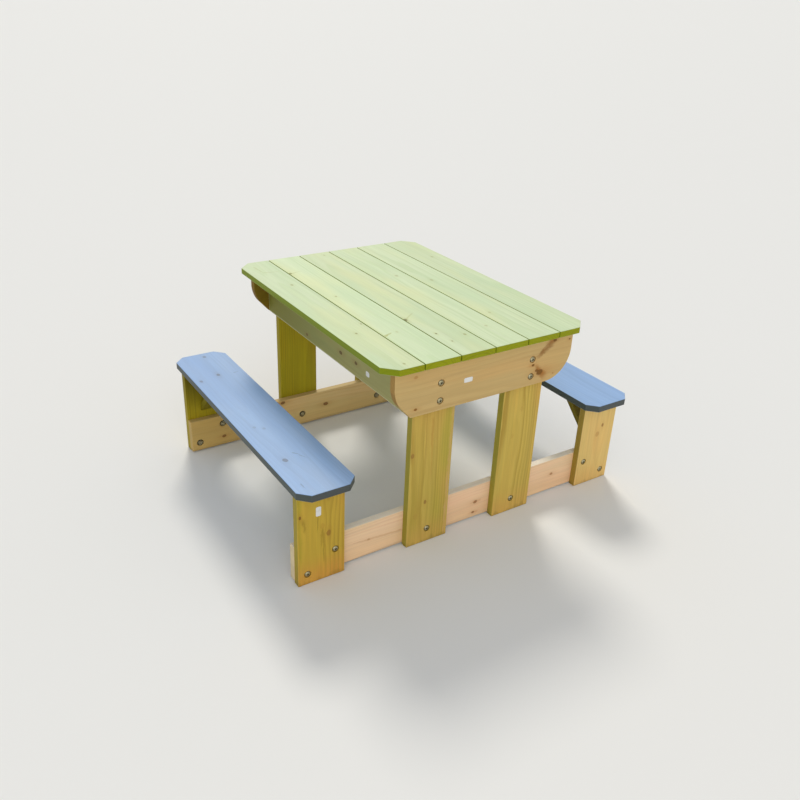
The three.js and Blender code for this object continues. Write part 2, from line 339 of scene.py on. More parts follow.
# Knots: place along and across the board as shares of its half length and half width, radius, darkness
boardKnots = {
    "top_board_1": [
        (0.451, -0.336, 0.0034, 0.4), (-0.941, -0.186, 0.0032, 0.4), (-0.462, -0.029, 0.003, 0.5),
        (-0.348, -0.86, 0.0022, 0.5),
    ],
    "top_board_2": [(0.663, 0.93, 0.004, 0.6), (0.13, 0.414, 0.003, 0.35), (-0.549, 0.15, 0.0035, 0.2)],
    "top_board_3": [
        (-0.415, 0.95, 0.0042, 1.0), (-0.678, 0.593, 0.0022, 1.0), (-0.811, 0.425, 0.002, 0.7),
        (-0.763, -0.624, 0.0036, 0.4), (0.931, -0.427, 0.0034, 0.3),
    ],
    "top_board_4": [(-0.715, -0.22, 0.004, 0.25), (0.3, -0.3, 0.004, 0.3)],
    "top_board_5": [(0.12, 0.3, 0.004, 0.3), (-0.55, 0.5, 0.0034, 0.25)],
    "top_board_6": [(0.55, -0.2, 0.004, 0.3)],
    "bench_board_left": [
        (0.936, -0.137, 0.005, 0.5), (0.615, -0.005, 0.0048, 0.8), (0.571, 0.751, 0.004, 0.5),
        (-0.606, 0.465, 0.0055, 0.6), (-0.174, 0.455, 0.004, 0.25), (-0.212, 0.202, 0.004, 0.25),
    ],
    "bench_board_right": [(-0.35, 0.3, 0.005, 0.4), (0.4, -0.4, 0.006, 0.4)],
    "apron_front": [
        (0.583, -0.389, 0.0036, 0.75), (0.622, -0.5, 0.0078, 0.8), (0.53, -0.11, 0.003, 0.9),
        (-0.78, -0.69, 0.0032, 0.65), (-0.79, 0.64, 0.004, 0.25), (0.96, 0.68, 0.0018, 1.0),
        (0.798, -0.706, 0.0022, 0.35), (0.772, 0.79, 0.0042, 0.85),
    ],
    "apron_back": [(-0.4, 0.3, 0.008, 0.6), (0.52, -0.3, 0.01, 0.5), (0.1, -0.5, 0.004, 0.6)],
    "side_rail_left": [
        (0.335, 0.76, 0.0045, 0.7), (-0.176, 0.42, 0.0046, 0.9), (-0.386, 0.393, 0.0042, 0.95),
    ],
    "side_rail_right": [(0.25, 0.3, 0.007, 0.8), (-0.4, -0.2, 0.006, 0.7)],
    "table_leg_front_left": [
        (0.05, 0.9, 0.0045, 0.45), (-0.52, 0.17, 0.004, 0.5), (-0.66, 0.63, 0.007, 0.12),
    ],
    "table_leg_front_right": [(0.22, -0.05, 0.005, 0.12), (-0.07, 0.32, 0.005, 0.12)],
    "bench_leg_front_left": [
        (0.52, 0.88, 0.0034, 0.7), (0.2, -0.06, 0.0058, 0.15), (0.01, -0.3, 0.0055, 0.42),
        (0.82, -0.3, 0.01, 0.18),
    ],
    "bench_leg_front_right": [(0.41, -0.28, 0.004, 0.6), (0.22, -0.02, 0.006, 0.3)],
    "stretcher_front": [
        (0.064, -0.05, 0.0045, 0.7), (0.055, -0.7, 0.0035, 0.8), (0.6, 0.05, 0.004, 0.5),
        (-0.595, -0.06, 0.003, 0.3),
    ],
    "stretcher_back": [(0.41, 0.85, 0.0055, 0.9), (0.11, 0.03, 0.0055, 0.8), (0.8, -0.45, 0.0045, 0.8)],
}

# The other boards get one to three at random
strayKnots = dict(
    count=(1, 3), along=(-0.85, 0.85), across=(-0.8, 0.8), radius=(0.003, 0.008), darkness=(0.5, 0.9),
)

# Long streaks and cracks: from, to, half width, strength, and a colour of their own where they have one.
# Otherwise the thin ones are cracks and the others stained wood.
boardStreaks = {
    "apron_front": [
        ((0.77, 0.86), (0.585, 0.18), 0.0125, 0.8),
        ((0.685, -0.74), (0.57, -0.22), 0.0118, 0.9, (160, 98, 26)),
    ],
    "top_board_1": [((0.9, 0.32), (0.75, 0.18), 0.003, 0.4), ((0.76, 0.22), (0.735, -0.85), 0.0028, 0.4)],
    "top_board_2": [((-0.574, 0.98), (-0.545, 0.45), 0.0055, 0.8), ((0.663, 0.93), (0.68, 0.1), 0.003, 0.45)],
    "top_board_3": [((-0.413, 0.95), (-0.33, 0.0), 0.0032, 0.45)],
    "bench_board_left": [
        ((0.6, -0.58), (0.604, -0.8), 0.0013, 0.95), ((-0.55, 0.07), (-0.582, -0.09), 0.0018, 0.85),
        ((-0.588, -0.05), (-0.64, -0.2), 0.0016, 0.7), ((-0.865, 0.641), (-0.915, 0.639), 0.0026, 0.6),
    ],
    "bench_leg_front_left": [
        ((0.14, -0.05), (-0.7, -0.11), 0.0044, 0.55), ((0.54, 0.14), (0.08, 0.17), 0.0024, 0.5),
        ((0.02, 0.02), (-0.3, 0.0), 0.0021, 0.4), ((0.46, 0.74), (0.18, 0.68), 0.007, 0.5),
        ((0.9, 0.93), (-0.7, 0.86), 0.008, 0.45, (158, 152, 34)),
    ],
    "table_leg_front_left": [
        ((0.96, 0.15), (0.68, 0.18), 0.0026, 0.55), ((0.55, 0.34), (-0.3, 0.22), 0.0026, 0.45),
        ((0.4, 0.02), (-0.35, -0.06), 0.0044, 0.4, (188, 134, 52)),
        ((0.8, -0.96), (-1.3, -0.86), 0.0085, 0.6, (216, 174, 112)),
    ],
    "stretcher_front": [
        ((0.1, -0.02), (0.02, -0.06), 0.003, 0.35), ((0.085, -0.72), (0.03, -0.68), 0.0024, 0.4),
        ((-0.4, -0.17), (-0.75, 0.02), 0.0038, 0.45),
    ],
}


def timberMaterial(name, board, look):
    rng = random.Random(name)
    grain, look = timberGrain, {**plainLook, **look}
    material, shader, point = newMaterial(name + "_timber")
    normal = Wire(point.socket.node.outputs["Normal"])
    place = {"Vector": point, "Location": board["centre"], "Rotation": board["turn"].to_euler()}
    local = point.node("Mapping", {"vector_type": "TEXTURE"}, place)
    seeded = vectorSum("ADD", local, [rng.uniform(-20, 20) for _ in range(3)])
    along, across, depth = split(local)
    halves = [size / 2 for size in board["size"]]
    gain = 1 + rng.uniform(-1, 1) * grain["boardShift"]
    tones = {key: value for key, value in look.items() if isinstance(value, tuple) and len(value) == 3}
    colours = {key: tint(*tone, gain) for key, tone in tones.items()}
    wobble = grainNoise(seeded, grain["wobblePace"])

    # Fibres part round each knot, which has a dark heart and rim in a resinous halo
    parted, knots, halos, rims = across, [], [], []
    for alongShare, acrossShare, radius, darkness in boardKnots.get(name, board["knots"]):
        fromKnot = along - alongShare * halves[0]
        beside = across - acrossShare * halves[1]
        narrower = fromKnot * (1 / grain["eyeLength"])
        eyeSpan = (narrower * narrower + beside * beside) * (-1 / (radius * grain["eyeWidth"]) ** 2)
        eye = eyeSpan.math("EXPONENT", eyeSpan)
        parted = parted - beside * eye * grain["parting"]
        longer = fromKnot * grain["knotSquash"]
        span = rootOf(longer * longer + beside * beside) / radius + (wobble - 0.5) * grain["knotWobble"]
        core = 1 - smooth(span, 0.7, 1.2)
        knots.append((core, darkness))
        rims.append(smooth(span, 0.45, 0.95) * core * darkness ** 2)
        halos.append(eye * (0.35 + wobble * 0.7) * darkness * 0.85)
    knotHalo, knotRim = reduce(greater, halos), reduce(greater, rims)

    # Growth rings round a pith that lies below the face
    stray = grainNoise(seeded, grain["strayPace"], 1.5, "Color")
    _, strayAcross, strayDepth = split(stray)
    pithSide = rng.uniform(*grain["pithSide"]) * rng.choice((-1, 1))
    pithDepth = rng.uniform(*grain["pithDepth"])
    ringAcross = parted + (strayAcross - 0.5) * grain["ringStray"][0] * 2 + pithSide
    ringDepth = depth + (strayDepth - 0.5) * grain["ringStray"][1] * 2 + pithDepth
    fromPith = rootOf(ringAcross * ringAcross + ringDepth * ringDepth)
    rippled = grainNoise(seeded, grain["ripplePace"])
    phase = fromPith / (look["ringWidth"] * rng.uniform(0.85, 1.2)) + rippled * grain["ringRipple"]
    ringShare = phase.math("FRACT", phase)
    late = smooth(ringShare, 0.2, 0.86) * (1 - smooth(ringShare, 0.88, 1.0))
    late = late * (0.25 + 0.75 * smooth(lineNoise(phase.math("FLOOR", phase), 1.37), 0.3, 0.7))

    fibre = grainNoise(seeded, grain["fibrePace"])
    streak = grainNoise(seeded, grain["streakPace"], 3.0)
    patches = grainNoise(seeded, grain["patchPace"], 2.0, "Color")
    warmPatch, coolPatch, fadePatch = split(patches)
    late = late * (0.55 + 0.45 * smooth(fadePatch, 0.35, 0.6))

    # Which way the surface faces, and how near it is to an arris
    endness = abs(vectorDot(normal, board["turn"].col[0]))
    faceness = abs(vectorDot(normal, board["turn"].col[2]))
    isEnd = smooth(endness, 0.6, 0.9)
    isSide = 1 - smooth(faceness, 0.35, 0.8)
    toEnd = lesser(halves[0] - abs(along), cutPlane(board, along, across, halves))
    toSide = halves[1] - abs(across)
    toFace = halves[2] - abs(depth)
    toArris = lesser(lesser(greater(toEnd, toSide), greater(toSide, toFace)), greater(toEnd, toFace))
    isArris = 1 - smooth(toArris + (streak - 0.5) * 0.004, 0.0004, look["arrisWidth"])

    colour = mixColour(late * look["grain"], colours["early"], colours["late"])
    colour = mixColour(smooth(warmPatch, 0.45, 0.68) * 0.6, colour, colours["warm"])
    colour = mixColour(smooth(coolPatch, 0.45, 0.68) * 0.6, colour, colours["cool"])
    # Painted shade that darkens a board towards one end
    if look["farShare"]:
        far = smooth(along + (streak - 0.5) * 0.08, *look["farReach"]) * look["farShare"]
        colour = mixColour(far, colour, colours["far"])
    # Painted shade on inward faces: only faces turned outwards get the unshaded colour
    if look["bleachedShare"]:
        outer = smooth(vectorDot(normal, board["turn"].col[2]), 0.4, 0.8) * (1 - late * 0.35)
        colour = mixColour(outer * look["bleachedShare"], colour, colours["bleached"])
    if look["footShare"]:
        height = split(point)[2] + (streak - 0.5) * 0.05
        foot = (1 - smooth(height, *grain["footHeight"])) * look["footShare"]
        colour = mixColour(foot * (1 - late * 0.5), colour, colours["foot"])
    # Side faces take the side colour. On the legs, braces and bench boards this is painted shade; on the
    # front stretcher it is a painted highlight.
    colour = mixColour(isSide * look["sideShare"], colour, colours["side"])
    # Arrises turn paler: partly edge wear, partly a painted highlight
    colour = mixColour(isArris * look["arrisShare"], colour, colours["arris"])
    endTone = mixColour(late * 0.5, colours["end"], tint(*look["end"], 0.78))
    colour = mixColour(isEnd * look["endShare"], colour, endTone)
    onFace = 1 - greater(isEnd, isSide)
    for start, stop, halfWidth, darkness, *own in boardStreaks.get(name, []):
        mask = streakMask(along, across, start, stop, halfWidth, halves, wobble) * onFace
        tone = tint(*own[0]) if own else colours["knot"] if halfWidth < 0.002 else colours["stain"]
        colour = mixColour(mask * darkness * look["knotShare"], colour, tone)
    colour = mixColour(knotHalo * look["knotShare"] * onFace, colour, colours["resin"])
    for core, darkness in knots:
        tone = [light + (dark - light) * darkness for light, dark in zip(look["resin"], look["knot"])]
        strength = min(darkness * 1.8, 1) * look["knotShare"]
        colour = mixColour(core * strength * onFace, colour, tint(*tone))
    colour = mixColour(knotRim * look["knotShare"] * 0.6 * onFace, colour, tint(*look["knot"], 0.55))
    contrast = look["streak"] * grain["contrast"]
    value = 1 + (streak - 0.5) * contrast + (fibre - 0.5) * contrast
    # Darker towards the ground
    if look["footShare"]:
        value = value * (0.8 + 0.2 * smooth(height, 0.0, grain["darkFootHeight"]))
    # Painted shade inside the drilled holes
    if board["holes"]:
        inside = smooth(lesser(lesser(toEnd, toSide), toFace), 0.0007, 0.0016)
        value = value * (1 - inside * (1 - grain["holeShade"]))
    colour = colour.node("HueSaturation", {}, {"Color": colour, "Value": value})

    relief = fibre * 0.45 + late * 0.4 + streak * 0.3 - knotRim * 0.6
    feed(shader, "Base Color", colour)
    feed(shader, "Roughness", look["roughness"] + (fibre - 0.5) * 0.18 - late * 0.06 + isEnd * 0.1)
    feed(shader, "Specular IOR Level", look["specular"])
    feed(shader, "Normal", bumpOf(relief, look["relief"], grain["bumpDepth"]))
    return material


# How far inside the sawn-off corners of a board a point lies
def cutPlane(board, along, across, halves):
    if not board.get("cornerCut") or board.get("cornerSteps"):
        return halves[0] - abs(along)
    reach = across * board["cutSide"] if board["cutSide"] else abs(across)
    return (halves[0] + halves[1] - board["cornerCut"] - abs(along) - reach) * math.sqrt(0.5)


def streakMask(along, across, start, stop, halfWidth, halves, wobble):
    first = Vector((start[0] * halves[0], start[1] * halves[1]))
    last = Vector((stop[0] * halves[0], stop[1] * halves[1]))
    direction = (last - first).normalized()
    alongStreak = (along - first.x) * direction.x + (across - first.y) * direction.y
    beside = (across - first.y) * direction.x - (along - first.x) * direction.y
    length = (last - first).length
    soft = halfWidth * 1.2
    taper = smooth(alongStreak, -soft, soft) * (1 - smooth(alongStreak, length * 0.7, length + soft))
    narrowing = 1 - smooth(alongStreak, 0.0, length * 1.3) * 0.7
    wavy = abs(beside + (wobble - 0.5) * halfWidth * 1.6) / (narrowing * halfWidth)
    return (1 - smooth(wavy, 0.1, 1.25)) * taper * (0.7 + wobble * 0.6)


# Boards, sawn from blocks of the frame's sizes

boardShape = {
    "ease": 0.0015,  # radius of an arris
    "braceEase": 0.0012,
    "easeSteps": 3,
    "easeFrom": 30,  # degrees at which an edge counts as an arris
    "sawPitch": 0.06,  # between the stations at which a board may stray from straight
    "stray": 0.00012,
    "strayPace": 9,  # waves in a metre, about
    "topCornerCut": 0.032,
    "benchCornerCut": 0.026,
    "apronCorner": 0.075,
    "apronCornerSteps": 18,
    # The left corners are sawn a little flatter: degrees round the corner from the side, distance outwards
    "leftCorner": [
        (0, 0.0), (11, -0.0012), (28, -0.0018), (43, -0.0022), (50, -0.0016), (57, 0.0001), (65, 0.0041),
    ],
    "leftCornerEnd": 67.5,  # degrees at which they meet the lower edge, at an angle
    "braceThickness": 0.016,
    "smoothAngle": 40,
}

drilling = {
    "bore": 0.009,
    "headRecess": 0.018,
    "headDepth": 0.003,
    "nutRecess": 0.020,
    "nutDepth": 0.007,
    "chamfer": 0.0004,
    "overrun": 0.002,
    "around": 36,
}


def newPiece(name, node, mesh, material):
    piece = linked(name, mesh)
    mesh.materials.clear()
    mesh.materials.append(material)
    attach(piece, "root")
    if node:
        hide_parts(node)


# Writes a mesh anew in a fixed order. The order that bmesh and booleans leave can differ between runs.
def inOrder(mesh):
    places = [tuple(vert.co) for vert in mesh.vertices]
    order = sorted(range(len(places)), key=lambda index: places[index])
    rank = {old: new for new, old in enumerate(order)}
    rings = []
    for face in mesh.polygons:
        ring = [rank[index] for index in face.vertices]
        first = ring.index(min(ring))
        rings.append(ring[first:] + ring[:first])
    ordered = bpy.data.meshes.new(mesh.name)
    ordered.from_pydata([places[index] for index in order], [], sorted(rings))
    return ordered


def meshFrom(bm, name, turnOut=True):
    if turnOut:
        bmesh.ops.recalc_face_normals(bm, faces=bm.faces)
    mesh = bpy.data.meshes.new(name)
    bm.to_mesh(mesh)
    bm.free()
    return inOrder(mesh)


# Runs a mesh through a modifier and keeps the result
def finishedMesh(mesh, kind, **settings):
    helper = linked("helper", mesh)
    modifier = helper.modifiers.new(kind.title(), kind)
    for key, value in settings.items():
        setattr(modifier, key, value)
    shown = helper.evaluated_get(bpy.context.evaluated_depsgraph_get())
    finished = bpy.data.meshes.new_from_object(shown)
    bpy.data.objects.remove(helper)
    finished.name = mesh.name
    return finished


def softened(mesh):
    mesh.shade_smooth()
    mesh.set_sharp_from_angle(angle=math.radians(boardShape["smoothAngle"]))
    return finishedMesh(mesh, "WEIGHTED_NORMAL", keep_sharp=True)


def combined(mesh, tool, operation):
    helper = linked("tool", tool)
    result = finishedMesh(mesh, "BOOLEAN", operation=operation, solver="EXACT", object=helper)
    bpy.data.objects.remove(helper)
    return result


def bevel(bm, geom, offset, steps, affect="EDGES"):
    bmesh.ops.bevel(bm, geom=geom, offset=offset, affect=affect, segments=steps, profile=0.5, material=-1)


def easeEdges(bm, radius):
    angle = math.radians(boardShape["easeFrom"])
    bevel(bm, [edge for edge in bm.edges if edge.calc_face_angle(0) > angle], radius, boardShape["easeSteps"])


def sawThrough(bm, place, side, **settings):
    geom = bm.verts[:] + bm.edges[:] + bm.faces[:]
    return bmesh.ops.bisect_plane(bm, geom=geom, dist=1e-6, plane_co=place, plane_no=side, **settings)


# Cuts a board into lengths and moves each cut a little, as planed timber is never quite straight
def letStray(bm, board, seed):
    along, length = board["turn"].col[0], board["size"][0]
    count = max(2, round(length / boardShape["sawPitch"]))
    for i in range(1, count):
        sawThrough(bm, board["centre"] + along * (length * (i / count - 0.5)), along)
    for vert in bm.verts:
        wave = noise.noise_vector((vert.co + Vector((seed, 0, 0))) * boardShape["strayPace"])
        vert.co += (wave - along * wave.dot(along)) * boardShape["stray"]


def boreProfile(hole, thickness):
    cut = drilling
    isHead = hole["end"] == "head"
    wide = (cut["headRecess"] if isHead else cut["nutRecess"]) / 2
    deep = cut["headDepth"] if isHead else cut["nutDepth"]
    narrow, chamfer, overrun = cut["bore"] / 2, cut["chamfer"], cut["overrun"]
    return [
        (0, -overrun), (wide + chamfer, -overrun), (wide + chamfer, 0), (wide, chamfer), (wide, deep),
        (narrow, deep), (narrow, thickness - chamfer), (narrow + chamfer, thickness),
        (narrow + chamfer, thickness + overrun), (0, thickness + overrun),
    ]


# A profile of (radius, distance) points turned round an axis into a closed body
def turnProfile(bm, profile, origin, axis, steps):
    side = axis.orthogonal().normalized()
    verts = [bm.verts.new(origin + side * radius + axis * distance) for radius, distance in profile]
    edges = [bm.edges.new(pair) for pair in zip(verts, verts[1:])]
    bmesh.ops.spin(
        bm, geom=verts + edges, cent=origin, axis=axis, angle=2 * math.pi, steps=steps, use_merge=True
    )
    bmesh.ops.remove_doubles(bm, verts=bm.verts, dist=1e-6)


def drill(mesh, board):
    bm = bmesh.new()
    outward, thickness = board["turn"].col[2], board["size"][2]
    for hole in board["holes"]:
        low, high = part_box(hole["bolt"])
        place = (low + high) / 2
        place += outward * (board["centre"] - place).dot(outward)
        inward = -outward if hole["end"] == "head" else outward
        start = place - inward * thickness / 2
        turnProfile(bm, boreProfile(hole, thickness), start, inward, drilling["around"])
    return inOrder(combined(mesh, meshFrom(bm, "cutter"), "DIFFERENCE"))


def describeBoard(name, along, outward, look, slot, **extra):
    low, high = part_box(name)
    turn = Matrix((along, outward.cross(along), outward)).transposed()
    size = [abs((high - low).dot(turn.col[i])) for i in range(3)]
    rng = random.Random(name + " knots")
    knots = [
        [rng.uniform(*strayKnots[key]) for key in ("along", "across", "radius", "darkness")]
        for _ in range(rng.randint(*strayKnots["count"]))
    ]
    return {
        "centre": (low + high) / 2, "turn": turn, "size": size, "low": low, "high": high, "knots": knots,
        "look": look, "slot": slot, "holes": [], **extra,
    }


# Saws off the corners on the chosen side, or rounds them where the board has cornerSteps
def cutCorners(bm, board):
    turn, centre = board["turn"], board["centre"]
    chosen = []
    for edge in bm.edges:
        first, last = (vert.co for vert in edge.verts)
        isUpright = abs((first - last).normalized().dot(turn.col[2])) > 0.9
        onSide = ((first + last) / 2 - centre).dot(turn.col[1]) * board["cutSide"]
        if isUpright and (onSide > 0 or not board["cutSide"]):
            chosen.append(edge)
    bevel(bm, chosen, board["cornerCut"], board.get("cornerSteps", 1))


# Draws the round left corner of an apron in or out, down to an angle at its lower edge
def flattenLeftCorner(bm, board):
    steps, radius = boardShape["leftCorner"], board["cornerCut"]
    lastStep, lastAngle, stepAngle = steps[-1][0], boardShape["leftCornerEnd"], 90 / board["cornerSteps"]
    left = -board["turn"].col[0].x
    half, corner = Vector(board["size"][:2]) / 2, Vector((radius, radius))
    for vert in bm.verts:
        offset = board["turn"].transposed() @ (vert.co - board["centre"])
        inset = Vector((offset.x * left, -offset.y)) - half + corner
        if min(inset) < -1e-6 or inset.length < radius * 0.999:  # not on the round
            continue
        angle = math.degrees(math.atan2(inset.y, inset.x))
        if angle > lastStep + 1:
            share = (angle - lastStep - stepAngle) / (90 - stepAngle - lastStep)
            reach = math.radians(lastAngle + (90 - lastAngle) * share)
            target = Vector((radius / math.tan(reach), radius))
        else:
            before = max(pair for pair in steps if pair[0] <= angle + 0.01)
            after = min(pair for pair in steps if pair[0] >= angle - 0.01)
            share = (angle - before[0]) / max(after[0] - before[0], 1e-6)
            target = inset.normalized() * (radius + before[1] + (after[1] - before[1]) * share)
        shift = target - inset
        vert.co += board["turn"] @ Vector((shift.x * left, -shift.y, 0))


def sawBoard(name, board):
    bm = bmesh.new()
    place = Matrix.LocRotScale(board["centre"], None, board["high"] - board["low"])
    bmesh.ops.create_cube(bm, size=1, matrix=place)
    if board.get("cornerCut"):
        cutCorners(bm, board)
    if board.get("cornerSteps"):
        flattenLeftCorner(bm, board)
    letStray(bm, board, len(name) + board["centre"].x * 40)  # a seed of its own
    easeEdges(bm, boardShape["ease"])
    mesh = meshFrom(bm, name + "_board")
    return softened(drill(mesh, board) if board["holes"] else mesh)


# A diagonal strut: a bar at 45 degrees, sawn flat against the leg and against the bench board
def sawBrace(name, board):
    low, high = board["low"], board["high"]
    outwardY = 1 if board["centre"].y > 0 else -1
    thickness = boardShape["braceThickness"]
    reach = high.z - low.z
    mitre = thickness * math.sqrt(2)
    foot = high.y if outwardY > 0 else low.y
    middle = Vector((
        board["centre"].x, foot - outwardY * (reach - mitre / 2) / 2, low.z + (reach + mitre / 2) / 2
    ))
    bm = bmesh.new()
    size = Vector((reach * 2, high.x - low.x, thickness))
    place = Matrix.LocRotScale(middle, board["turn"].to_quaternion(), size)
    bmesh.ops.create_cube(bm, size=1, matrix=place)
    for saw, side in ((Vector((0, foot, 0)), yAxis * outwardY), (Vector((0, 0, high.z)), zAxis)):
        cut = sawThrough(bm, saw, side, clear_outer=True)["geom_cut"]
        bmesh.ops.holes_fill(bm, edges=[item for item in cut if isinstance(item, bmesh.types.BMEdge)])
    easeEdges(bm, boardShape["braceEase"])
    return softened(meshFrom(bm, name + "_board"))


def listBoards():
    shape = boardShape
    boards = {}

    def add(name, *facts, **extra):
        boards[name] = describeBoard(name, *facts, **extra)
        return boards[name]

    for i in range(1, 7):
        side = {1: 1, 6: -1}.get(i)  # across a top board is towards the left bench
        cut = {"cornerCut": shape["topCornerCut"], "cutSide": side} if side else {}
        add(f"top_board_{i}", yAxis, zAxis, "topBoard", "top_boards", **cut)
    for i in range(1, 4):
        add(f"top_batten_{i}", xAxis, -zAxis, "batten", "battens")
    for side, out in (("left", -xAxis), ("right", xAxis)):
        add("side_rail_" + side, yAxis, out, "rail", "rails")
        cut = {"cornerCut": shape["benchCornerCut"], "cutSide": 0}
        add("bench_board_" + side, yAxis, zAxis, "benchBoard", "bench_boards", **cut)
    for end, out, sideways, suffix in (("front", -yAxis, xAxis, ""), ("back", yAxis, -xAxis, "Back")):
        corner = {"cornerCut": shape["apronCorner"], "cutSide": -1, "cornerSteps": shape["apronCornerSteps"]}
        apron = add("apron_" + end, sideways, out, "apron" + suffix, "aprons", **corner)
        stretcher = add("stretcher_" + end, sideways, out, "stretcher" + suffix, "stretchers")
        for side in ("left", "right"):
            place = f"{end}_{side}"
            legLook = "tableLeg" if end == "front" else "backLeg"
            benchLook = {"front_left": "benchLeg", "front_right": "benchLegPale"}.get(place, "backBenchLeg")
            leg = add("table_leg_" + place, zAxis, out, legLook, "table_legs")
            benchLeg = add("bench_leg_" + place, zAxis, out, benchLook, "bench_legs")
            for bolt, outer, inner in (
                (f"apron_bolt_{place}_lower", apron, leg),
                (f"apron_bolt_{place}_upper", apron, leg),
                (f"table_leg_bolt_{place}", leg, stretcher),
                (f"bench_leg_bolt_{place}_outer", benchLeg, stretcher),
                (f"bench_leg_bolt_{place}_inner", benchLeg, stretcher),
            ):
                outer["holes"].append({"bolt": bolt, "end": "head"})
                inner["holes"].append({"bolt": bolt, "end": "nut"})
            rise, under = (zAxis - out).normalized(), (-zAxis - out).normalized()
            brace = add("brace_" + place, rise, under, "brace", "braces", shaped=sawBrace)
            low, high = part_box("brace_" + place)
            brace["size"] = [(high.z - low.z) * math.sqrt(2), high.x - low.x, shape["braceThickness"]]
    return boards


def makeBoards():
    for name, board in listBoards().items():
        mesh = board.get("shaped", sawBoard)(name, board)
        material = timberMaterial(name, board, timberLook[board["look"]])
        newPiece(name + "_timber", name, mesh, material)


# Bolts: domed head with a hexagon socket, threaded end, washer and hexagon nut

boltShape = {
    "headWidth": 0.014,
    "headHeight": 0.0044,
    "headRim": 0.0008,
    "rimEdge": 0.0002,
    "domeSteps": 8,
    "socketWidth": 0.005,
    "socketDepth": 0.0026,
    "shank": 0.008,
    "tail": 0.003,
    "tipChamfer": 0.001,
    "threadPitch": 0.00125,
    "threadDepth": 0.0006,
    "threadTurns": 9,
    "runOut": 0.0006,  # from the core of the thread to the full shank
    "washerWidth": 0.017,
    "washerThickness": 0.0016,
    "nutWidth": 0.013,
    "nutHeight": 0.0065,
    "nutFlat": 0.96,  # round part of its faces over the width
    "nutSink": 0.0006,
    "play": 0.0002,  # of the washer on the shank
    "around": 32,
    "nutAround": 48,
    "threadSteps": 20,
    "smoothAngle": 28,
    "rimDirtAndShade": 0.0022,  # how far dirt and painted shade climb the head
    # dirt and painted shade in the socket
    "socketDirtAndShade": 0.9,
    # painted shade on the washer and nut, as in their recesses
    "nutShade": 0.3,
}


def turnedMesh(name, profile, steps):
    bm = bmesh.new()
    turnProfile(bm, profile, Vector(), zAxis, steps)
    return meshFrom(bm, name)


def hexagonMesh(name, acrossFlats, low, high):
    bm = bmesh.new()
    base = bmesh.ops.create_circle(bm, cap_ends=True, segments=6, radius=acrossFlats / math.sqrt(3))["verts"]
    bmesh.ops.translate(bm, verts=base, vec=(0, 0, low))
    raised = bmesh.ops.extrude_face_region(bm, geom=[base[0].link_faces[0]])["geom"]
    top = [item for item in raised if isinstance(item, bmesh.types.BMVert)]
    bmesh.ops.translate(bm, verts=top, vec=(0, 0, high - low))
    return meshFrom(bm, name)


# The head's bearing face is at 0, the head stands towards +Z and the shank runs down to the end
def makeHeadAndShank(end):
    shape = boltShape
    height, edge = shape["headHeight"], shape["rimEdge"]
    wide, rise, shank = shape["headWidth"] / 2, height - shape["headRim"], shape["shank"] / 2
    profile = [(0, height)]
    for i in range(1, shape["domeSteps"] + 1):
        angle = i / shape["domeSteps"] * math.pi / 2
        profile.append((wide * math.sin(angle), shape["headRim"] + rise * math.cos(angle)))
    core = shank - shape["threadDepth"]
    threadTop = end + shape["threadTurns"] * shape["threadPitch"]
    profile += [
        (wide, edge), (wide - edge, 0), (shank, 0), (shank, threadTop + shape["runOut"]), (core, threadTop),
        (core, end + shape["tipChamfer"] * 0.5), (core - shape["tipChamfer"] * 0.6, end), (0, end),
    ]
    body = turnedMesh("bolt", profile, shape["around"])
    socket = hexagonMesh("socket", shape["socketWidth"], height - shape["socketDepth"], height * 2)
    return combined(body, socket, "DIFFERENCE")


# A ridge wound round the core
def makeThread(end):
    shape = boltShape
    crest, pitch, turns = shape["shank"] / 2, shape["threadPitch"], shape["threadTurns"] - 1
    core = crest - shape["threadDepth"] * 1.05  # sunk a little into the shank
    bm = bmesh.new()
    points = [(core, 0), (crest, pitch * 0.44), (crest, pitch * 0.56), (core, pitch)]
    start = end + shape["tipChamfer"] * 0.2
    verts = [bm.verts.new((radius, 0, start + height)) for radius, height in points]
    face = bm.faces.new(verts)
    steps = shape["threadSteps"] * turns
    bmesh.ops.spin(
        bm, geom=verts + face.edges[:] + [face], cent=(0, 0, 0), axis=zAxis,
        dvec=zAxis * (pitch * turns / steps), angle=2 * math.pi * turns, steps=steps,
    )
    bmesh.ops.holes_fill(bm, edges=[edge for edge in bm.edges if edge.is_boundary])
    return meshFrom(bm, "thread")


def makeWasher(face):
    shape = boltShape
    wide, thick, bore = shape["washerWidth"] / 2, shape["washerThickness"], shape["shank"] / 2 + shape["play"]
    soft = thick * 0.2
    profile = [
        (bore, face), (wide - soft, face), (wide, face - soft), (wide, face - thick + soft),
        (wide - soft, face - thick), (bore, face - thick), (bore, face),
    ]
    return turnedMesh("washer", profile, shape["around"])


# A hexagon nut, its corners chamfered by turning, with a countersunk thread
def makeNut(face):
    shape = boltShape
    high, low = face, face - shape["nutHeight"]
    corner, flat = shape["nutWidth"] / math.sqrt(3), shape["nutWidth"] / 2 * shape["nutFlat"]
    slope, beyond = (corner - flat) * math.tan(math.radians(30)), corner * 1.01
    turned = turnedMesh("turned", [
        (0, high), (flat, high), (beyond, high - slope), (beyond, low + slope), (flat, low), (0, low),
    ], shape["nutAround"])
    nut = combined(hexagonMesh("nut", shape["nutWidth"], low, high), turned, "INTERSECT")
    bore, sink = shape["shank"] / 2 - shape["play"] / 2, shape["nutSink"]
    drillBit = turnedMesh("bit", [
        (0, high + sink), (bore + sink * 2, high + sink), (bore, high - sink), (bore, low + sink),
        (bore + sink * 2, low - sink), (0, low - sink),
    ], shape["around"])
    return combined(nut, drillBit, "DIFFERENCE")


def joinMeshes(name, meshes):
    bm = bmesh.new()
    for mesh in meshes:
        bm.from_mesh(mesh)
    return meshFrom(bm, name, False)


# The last zinc tone is dirt and painted shade
zincLook = dict(bright=(184, 177, 146), dull=(152, 144, 110), fleck=(122, 112, 78), dirtAndShade=(80, 70, 42))


